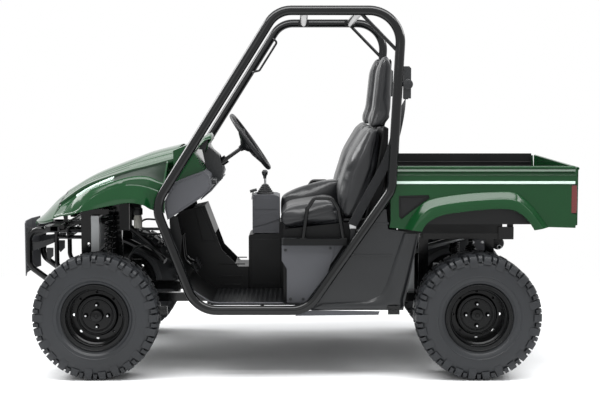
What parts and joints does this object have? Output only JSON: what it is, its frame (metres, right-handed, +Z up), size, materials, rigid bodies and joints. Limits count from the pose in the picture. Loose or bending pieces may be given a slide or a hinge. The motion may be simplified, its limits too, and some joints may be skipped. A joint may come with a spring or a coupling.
{
  "type": "side by side utility vehicle",
  "caption": "Open two-seat off-road utility vehicle with a tubular roll cage, green body panels, knobby tyres and a tilting cargo bed with a drop tailgate.",
  "frame": {"origin": "on the ground, under the centre of the bounding box", "axes": "+X forward, +Y to the left side, +Z up"},
  "size_m": [2.885, 1.385, 1.853],
  "materials": {
    "green_body": "gloss moulded plastic",
    "grey_plastic": "grained moulded plastic",
    "black_plastic": "grained moulded plastic",
    "black_rubber": "soft moulded",
    "seat_vinyl": "grained vinyl",
    "tyre": "moulded",
    "rim_black": "satin",
    "black_steel": "satin powder coat",
    "bed_black": "textured coat",
    "aluminium": "satin",
    "cast_aluminium": "cast",
    "lamp_clear": "clear",
    "lamp_red": "clear gloss"
  },
  "bodies": {
    "chassis": {"belt_reels": "black_plastic", "console": "grey_plastic", "cowl_panel": "green_body", "dash_panel": "grey_plastic", "drive_train": "cast_aluminium", "engine_block": "cast_aluminium", "fender_left": "green_body", "fender_right": "green_body", "floor_pan": "black_plastic", "frame_cross_members": "black_steel", "frame_sides": "black_steel", "front_frame_bars": "black_steel", "front_guard_plate": "black_plastic", "front_guard_tubes": "black_steel", "front_wishbones": "black_steel", "gear_lever": "black_rubber", "headlamps": "lamp_clear", "hip_bars": "black_steel", "hoop_left": "black_steel", "hoop_right": "black_steel", "nose_panel": "green_body", "radiator": "aluminium", "rear_side_panel_left": "black_plastic", "rear_side_panel_right": "black_plastic", "rear_subframe": "black_steel", "rear_wishbones": "black_steel", "roof_crossbars": "black_steel", "seat_back_left": "seat_vinyl", "seat_back_right": "seat_vinyl", "seat_box": "black_plastic", "seat_cushion_left": "seat_vinyl", "seat_cushion_right": "seat_vinyl", "shock_absorbers": "black_steel", "side_covers": "grey_plastic", "steering_housings": "black_steel"},
    "front_left_wheel": {"front_left_rim": "rim_black", "front_left_tyre": "tyre"},
    "front_right_wheel": {"front_right_rim": "rim_black", "front_right_tyre": "tyre"},
    "rear_left_wheel": {"rear_left_rim": "rim_black", "rear_left_tyre": "tyre"},
    "rear_right_wheel": {"rear_right_rim": "rim_black", "rear_right_tyre": "tyre"},
    "left_knuckle": {"knuckle_left": "black_steel"},
    "right_knuckle": {"knuckle_right": "black_steel"},
    "steering_wheel": {"steering_wheel": "black_rubber"},
    "rack_bar": {"tie_rods": "black_steel"},
    "hood": {"hood": "green_body"},
    "cargo_bed": {"bed_tub": "bed_black", "bed_side_left": "green_body", "bed_side_right": "green_body", "tail_lamps": "lamp_red"},
    "tailgate": {"tailgate": "green_body"}
  },
  "joints": [
    {"name": "front_left_steer", "type": "hinge", "parent": "chassis", "child": "left_knuckle", "pos_m": [0.9755, 0.51, 0.314], "axis": [0, 0, 1], "range_deg": [-32, 32]},
    {"name": "front_right_steer", "type": "hinge", "parent": "chassis", "child": "right_knuckle", "pos_m": [0.9755, -0.51, 0.314], "axis": [0, 0, 1], "range_deg": [-32, 32]},
    {"name": "steering_wheel_turn", "type": "hinge", "parent": "chassis", "child": "steering_wheel", "pos_m": [0.2135, 0.33, 1.174], "axis": [-0.8151, 0, 0.5793], "range_deg": [-270, 270]},
    {"name": "rack_slide", "type": "slide", "parent": "chassis", "child": "rack_bar", "axis": [0, 1, 0], "range_m": [-0.05, 0.05]},
    {"name": "front_left_spin", "type": "hinge", "parent": "left_knuckle", "child": "front_left_wheel", "pos_m": [0.9755, 0.591, 0.314], "axis": [0, 1, 0], "continuous": true},
    {"name": "front_right_spin", "type": "hinge", "parent": "right_knuckle", "child": "front_right_wheel", "pos_m": [0.9755, -0.591, 0.314], "axis": [0, 1, 0], "continuous": true},
    {"name": "rear_left_spin", "type": "hinge", "parent": "chassis", "child": "rear_left_wheel", "pos_m": [-0.9345, 0.5655, 0.314], "axis": [0, 1, 0], "continuous": true},
    {"name": "rear_right_spin", "type": "hinge", "parent": "chassis", "child": "rear_right_wheel", "pos_m": [-0.9345, -0.5655, 0.314], "axis": [0, 1, 0], "continuous": true},
    {"name": "bed_tilt", "type": "hinge", "parent": "chassis", "child": "cargo_bed", "pos_m": [-1.142, 0, 0.715], "axis": [0, -1, 0], "range_deg": [0, 42]},
    {"name": "tailgate_drop", "type": "hinge", "parent": "cargo_bed", "child": "tailgate", "pos_m": [-1.4325, 0, 0.774], "axis": [0, -1, 0], "range_deg": [0, 90]},
    {"name": "hood_lift", "type": "hinge", "parent": "chassis", "child": "hood", "pos_m": [1.186, 0, 0.868], "axis": [0, 1, 0], "range_deg": [0, 40]}
  ],
  "couplings": [
    {"joint": "front_right_steer", "follows": "front_left_steer", "ratio": 1},
    {"joint": "steering_wheel_turn", "follows": "front_left_steer", "ratio": 8.4},
    {"joint": "rack_slide", "follows": "front_left_steer", "m_per_rad": -0.086}
  ]
}
